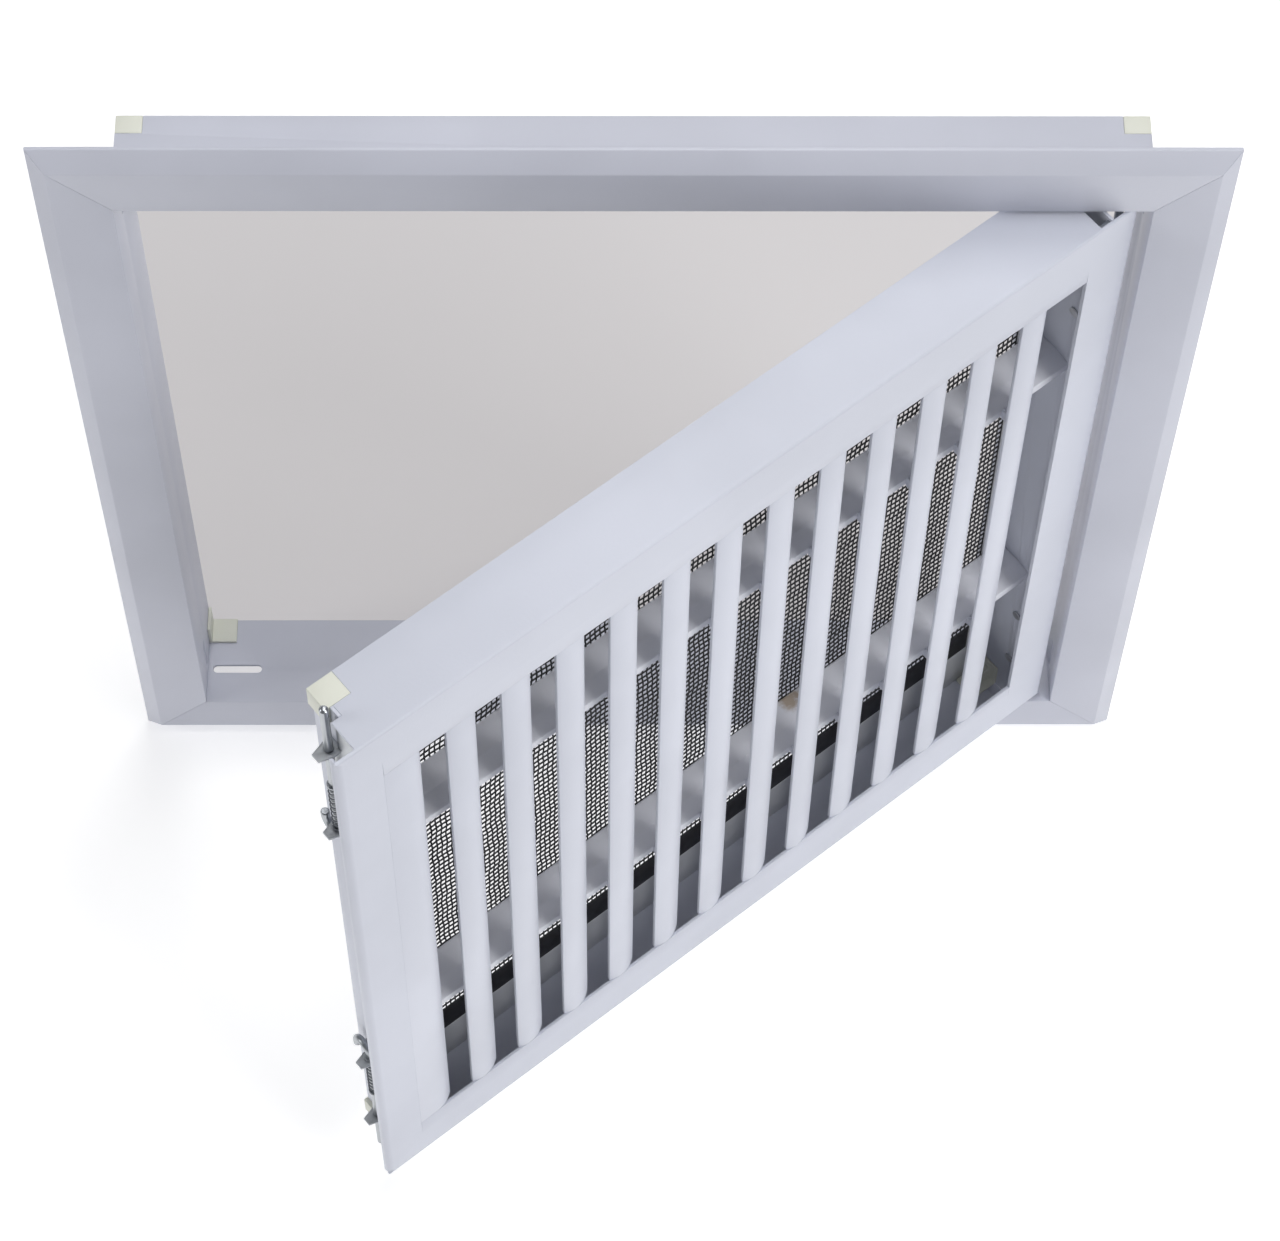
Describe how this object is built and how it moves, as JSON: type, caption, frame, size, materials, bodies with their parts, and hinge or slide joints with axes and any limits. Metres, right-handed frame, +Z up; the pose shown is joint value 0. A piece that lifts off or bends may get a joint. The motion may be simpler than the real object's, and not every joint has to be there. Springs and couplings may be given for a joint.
{
  "type": "louvered vent cover",
  "caption": "Square wall or ceiling return-air vent cover with a duct neck and a hinged louvered door on spring bolts, with a filter net behind the blades.",
  "frame": {"origin": "centre of the neck opening, on the wall plane that the flange's rim rests on", "axes": "+Y into the duct, along the neck; -Y is the front; +Z up; +X to the hinge side"},
  "size_m": [0.462, 0.2828, 0.462],
  "materials": {
    "white_coat": "satin powder coat",
    "cream_plastic": "moulded",
    "white_plastic": "smooth",
    "zinc_steel": "zinc plated",
    "spring_steel": "drawn wire",
    "aluminium_rivet": "satin",
    "black_net": "woven"
  },
  "bodies": {
    "frame": {"frame_top_rail": "white_coat", "frame_bottom_rail": "white_coat", "frame_left_stile": "white_coat", "frame_right_stile": "white_coat", "frame_corner_clips": "cream_plastic", "frame_corner_keys": "zinc_steel"},
    "door": {"door_top_rail": "white_coat", "door_bottom_rail": "white_coat", "door_free_stile": "white_coat", "door_hinge_stile": "white_coat", "front_blade_01": "white_coat", "front_blade_02": "white_coat", "front_blade_03": "white_coat", "front_blade_04": "white_coat", "front_blade_05": "white_coat", "front_blade_06": "white_coat", "front_blade_07": "white_coat", "front_blade_08": "white_coat", "front_blade_09": "white_coat", "front_blade_10": "white_coat", "front_blade_11": "white_coat", "front_blade_12": "white_coat", "front_blade_13": "white_coat", "rear_bar_upper": "white_coat", "rear_bar_lower": "white_coat", "door_corner_blocks": "cream_plastic", "door_corner_keys": "zinc_steel", "filter_border": "white_plastic", "filter_net": "black_net", "latch_bracket_upper": "zinc_steel", "latch_bracket_lower": "zinc_steel", "hinge_bracket_upper": "zinc_steel", "hinge_bracket_lower": "zinc_steel", "bracket_rivets": "aluminium_rivet", "latch_spring_upper": "spring_steel", "latch_spring_lower": "spring_steel", "hinge_spring_upper": "spring_steel", "hinge_spring_lower": "spring_steel"},
    "latch_bolt_upper_body": {"latch_bolt_upper": "zinc_steel"},
    "latch_bolt_lower_body": {"latch_bolt_lower": "zinc_steel"},
    "hinge_bolt_upper_body": {"hinge_bolt_upper": "zinc_steel"},
    "hinge_bolt_lower_body": {"hinge_bolt_lower": "zinc_steel"}
  },
  "joints": [
    {"name": "door_swing", "type": "hinge", "parent": "frame", "child": "door", "pos_m": [0.188, -0.002, 0], "axis": [0, 0, 1], "range_deg": [-38.8, 51.2]},
    {"name": "latch_slide_upper", "type": "slide", "parent": "door", "child": "latch_bolt_upper_body", "axis": [0, 0, 1], "range_m": [-0.007, 0], "stiffness_N_per_m": 300, "springref_m": 0.01, "deforming": ["latch_spring_upper"]},
    {"name": "latch_slide_lower", "type": "slide", "parent": "door", "child": "latch_bolt_lower_body", "axis": [0, 0, -1], "range_m": [-0.007, 0], "stiffness_N_per_m": 300, "springref_m": 0.01, "deforming": ["latch_spring_lower"]},
    {"name": "hinge_slide_upper", "type": "slide", "parent": "door", "child": "hinge_bolt_upper_body", "axis": [0, 0, 1], "range_m": [-0.007, 0], "stiffness_N_per_m": 300, "springref_m": 0.01, "deforming": ["hinge_spring_upper"]},
    {"name": "hinge_slide_lower", "type": "slide", "parent": "door", "child": "hinge_bolt_lower_body", "axis": [0, 0, -1], "range_m": [-0.007, 0], "stiffness_N_per_m": 300, "springref_m": 0.01, "deforming": ["hinge_spring_lower"]}
  ]
}
